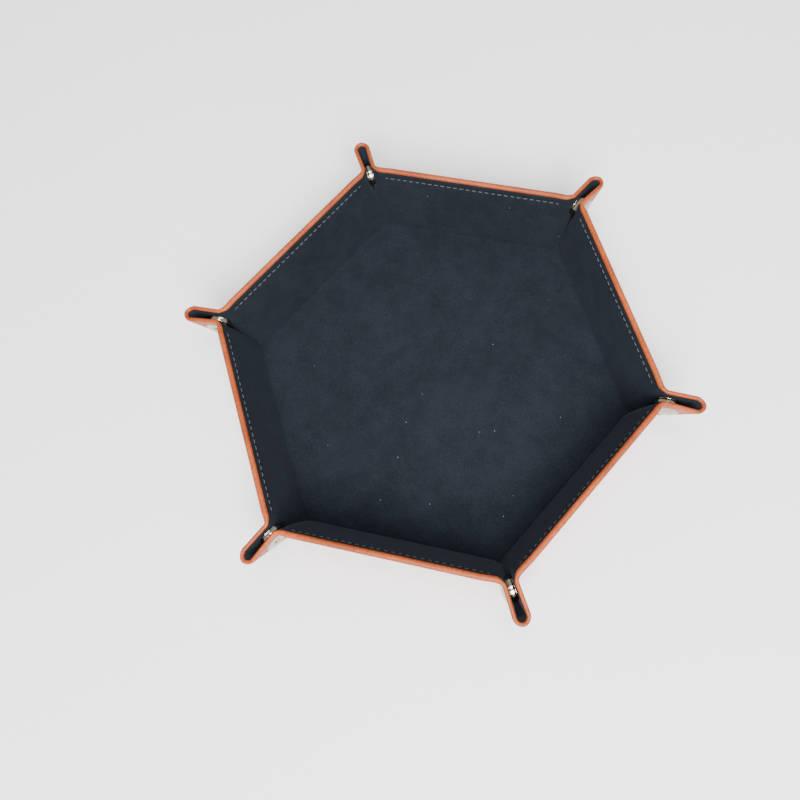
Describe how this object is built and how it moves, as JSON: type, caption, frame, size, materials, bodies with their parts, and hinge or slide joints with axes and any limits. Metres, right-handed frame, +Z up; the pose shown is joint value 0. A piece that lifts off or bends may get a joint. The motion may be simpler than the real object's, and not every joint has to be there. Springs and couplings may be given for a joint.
{
  "type": "folding dice tray",
  "caption": "Hexagonal tray with a lined floor and hinged, lined walls; pinched corner ears snap shut to hold the walls up, and unsnap so that it lies flat.",
  "frame": {"origin": "middle of the underside, on the surface that the tray stands on", "axes": "+Z up out of the tray; corners and ears at multiples of 60 degrees from +X, walls between them"},
  "size_m": [0.2596, 0.228, 0.04],
  "materials": {
    "leather": "orange-tan coated leather, fine grain, satin",
    "lining": "dark blue-grey velvet, short nap",
    "board": "grey pressed fibre board, hidden",
    "snap_metal": "nickel plated, polished"
  },
  "bodies": {
    "base": {"base_leather": "leather", "base_board": "board", "base_lining": "lining"},
    "wall_1": {"wall_leather_1": "leather", "wall_board_1": "board", "wall_lining_1": "lining"},
    "socket_flap_1": {"socket_flap_leather_1": "leather", "socket_flap_lining_1": "lining", "snap_cap_and_socket_1": "snap_metal"},
    "stud_flap_1": {"stud_flap_leather_1": "leather", "stud_flap_lining_1": "lining", "snap_eyelet_and_stud_1": "snap_metal"},
    "wall_2": {"wall_leather_2": "leather", "wall_board_2": "board", "wall_lining_2": "lining"},
    "socket_flap_2": {"socket_flap_leather_2": "leather", "socket_flap_lining_2": "lining", "snap_cap_and_socket_2": "snap_metal"},
    "stud_flap_2": {"stud_flap_leather_2": "leather", "stud_flap_lining_2": "lining", "snap_eyelet_and_stud_2": "snap_metal"},
    "wall_3": {"wall_leather_3": "leather", "wall_board_3": "board", "wall_lining_3": "lining"},
    "socket_flap_3": {"socket_flap_leather_3": "leather", "socket_flap_lining_3": "lining", "snap_cap_and_socket_3": "snap_metal"},
    "stud_flap_3": {"stud_flap_leather_3": "leather", "stud_flap_lining_3": "lining", "snap_eyelet_and_stud_3": "snap_metal"},
    "wall_4": {"wall_leather_4": "leather", "wall_board_4": "board", "wall_lining_4": "lining"},
    "socket_flap_4": {"socket_flap_leather_4": "leather", "socket_flap_lining_4": "lining", "snap_cap_and_socket_4": "snap_metal"},
    "stud_flap_4": {"stud_flap_leather_4": "leather", "stud_flap_lining_4": "lining", "snap_eyelet_and_stud_4": "snap_metal"},
    "wall_5": {"wall_leather_5": "leather", "wall_board_5": "board", "wall_lining_5": "lining"},
    "socket_flap_5": {"socket_flap_leather_5": "leather", "socket_flap_lining_5": "lining", "snap_cap_and_socket_5": "snap_metal"},
    "stud_flap_5": {"stud_flap_leather_5": "leather", "stud_flap_lining_5": "lining", "snap_eyelet_and_stud_5": "snap_metal"},
    "wall_6": {"wall_leather_6": "leather", "wall_board_6": "board", "wall_lining_6": "lining"},
    "socket_flap_6": {"socket_flap_leather_6": "leather", "socket_flap_lining_6": "lining", "snap_cap_and_socket_6": "snap_metal"},
    "stud_flap_6": {"stud_flap_leather_6": "leather", "stud_flap_lining_6": "lining", "snap_eyelet_and_stud_6": "snap_metal"}
  },
  "joints": [
    {"name": "fold", "type": "hinge", "parent": "base", "child": "wall_1", "pos_m": [0.07626, 0.04403, 0.001], "axis": [-0.5, 0.866, 0], "range_deg": [0, 72.5]},
    {"name": "stud_flap_1_crease", "type": "hinge", "parent": "wall_1", "child": "stud_flap_1", "pos_m": [0.10169, 0, 0.001], "axis": [-0.2376, -0.0715, -0.9687], "range_deg": [0, 62.63]},
    {"name": "socket_flap_1_crease", "type": "hinge", "parent": "wall_1", "child": "socket_flap_1", "pos_m": [0.05084, 0.08806, 0.001], "axis": [0.1807, 0.17, 0.9687], "range_deg": [0, 62.63]},
    {"name": "wall_2_fold", "type": "hinge", "parent": "base", "child": "wall_2", "pos_m": [0, 0.08806, 0.001], "axis": [-1, 0, 0], "range_deg": [0, 72.5]},
    {"name": "stud_flap_2_crease", "type": "hinge", "parent": "wall_2", "child": "stud_flap_2", "pos_m": [0.05084, 0.08806, 0.001], "axis": [-0.0569, -0.2415, -0.9687], "range_deg": [0, 62.63]},
    {"name": "socket_flap_2_crease", "type": "hinge", "parent": "wall_2", "child": "socket_flap_2", "pos_m": [-0.05084, 0.08806, 0.001], "axis": [-0.0569, 0.2415, 0.9687], "range_deg": [0, 62.63]},
    {"name": "wall_3_fold", "type": "hinge", "parent": "base", "child": "wall_3", "pos_m": [-0.07626, 0.04403, 0.001], "axis": [-0.5, -0.866, 0], "range_deg": [0, 72.5]},
    {"name": "stud_flap_3_crease", "type": "hinge", "parent": "wall_3", "child": "stud_flap_3", "pos_m": [-0.05084, 0.08806, 0.001], "axis": [0.1807, -0.17, -0.9687], "range_deg": [0, 62.63]},
    {"name": "socket_flap_3_crease", "type": "hinge", "parent": "wall_3", "child": "socket_flap_3", "pos_m": [-0.10169, 0, 0.001], "axis": [-0.2376, 0.0715, 0.9687], "range_deg": [0, 62.63]},
    {"name": "wall_4_fold", "type": "hinge", "parent": "base", "child": "wall_4", "pos_m": [-0.07626, -0.04403, 0.001], "axis": [0.5, -0.866, 0], "range_deg": [0, 72.5]},
    {"name": "stud_flap_4_crease", "type": "hinge", "parent": "wall_4", "child": "stud_flap_4", "pos_m": [-0.10169, 0, 0.001], "axis": [0.2376, 0.0715, -0.9687], "range_deg": [0, 62.63]},
    {"name": "socket_flap_4_crease", "type": "hinge", "parent": "wall_4", "child": "socket_flap_4", "pos_m": [-0.05084, -0.08806, 0.001], "axis": [-0.1807, -0.17, 0.9687], "range_deg": [0, 62.63]},
    {"name": "wall_5_fold", "type": "hinge", "parent": "base", "child": "wall_5", "pos_m": [0, -0.08806, 0.001], "axis": [1, 0, 0], "range_deg": [0, 72.5]},
    {"name": "stud_flap_5_crease", "type": "hinge", "parent": "wall_5", "child": "stud_flap_5", "pos_m": [-0.05084, -0.08806, 0.001], "axis": [0.0569, 0.2415, -0.9687], "range_deg": [0, 62.63]},
    {"name": "socket_flap_5_crease", "type": "hinge", "parent": "wall_5", "child": "socket_flap_5", "pos_m": [0.05084, -0.08806, 0.001], "axis": [0.0569, -0.2415, 0.9687], "range_deg": [0, 62.63]},
    {"name": "wall_6_fold", "type": "hinge", "parent": "base", "child": "wall_6", "pos_m": [0.07626, -0.04403, 0.001], "axis": [0.5, 0.866, 0], "range_deg": [0, 72.5]},
    {"name": "stud_flap_6_crease", "type": "hinge", "parent": "wall_6", "child": "stud_flap_6", "pos_m": [0.05084, -0.08806, 0.001], "axis": [-0.1807, 0.17, -0.9687], "range_deg": [0, 62.63]},
    {"name": "socket_flap_6_crease", "type": "hinge", "parent": "wall_6", "child": "socket_flap_6", "pos_m": [0.10169, 0, 0.001], "axis": [0.2376, -0.0715, 0.9687], "range_deg": [0, 62.63]}
  ],
  "couplings": [
    {"joint": "stud_flap_1_crease", "follows": "fold", "ratio": 0.8618},
    {"joint": "socket_flap_1_crease", "follows": "fold", "ratio": 0.8618},
    {"joint": "wall_2_fold", "follows": "fold", "ratio": 1},
    {"joint": "stud_flap_2_crease", "follows": "fold", "ratio": 0.8618},
    {"joint": "socket_flap_2_crease", "follows": "fold", "ratio": 0.8618},
    {"joint": "wall_3_fold", "follows": "fold", "ratio": 1},
    {"joint": "stud_flap_3_crease", "follows": "fold", "ratio": 0.8618},
    {"joint": "socket_flap_3_crease", "follows": "fold", "ratio": 0.8618},
    {"joint": "wall_4_fold", "follows": "fold", "ratio": 1},
    {"joint": "stud_flap_4_crease", "follows": "fold", "ratio": 0.8618},
    {"joint": "socket_flap_4_crease", "follows": "fold", "ratio": 0.8618},
    {"joint": "wall_5_fold", "follows": "fold", "ratio": 1},
    {"joint": "stud_flap_5_crease", "follows": "fold", "ratio": 0.8618},
    {"joint": "socket_flap_5_crease", "follows": "fold", "ratio": 0.8618},
    {"joint": "wall_6_fold", "follows": "fold", "ratio": 1},
    {"joint": "stud_flap_6_crease", "follows": "fold", "ratio": 0.8618},
    {"joint": "socket_flap_6_crease", "follows": "fold", "ratio": 0.8618}
  ]
}
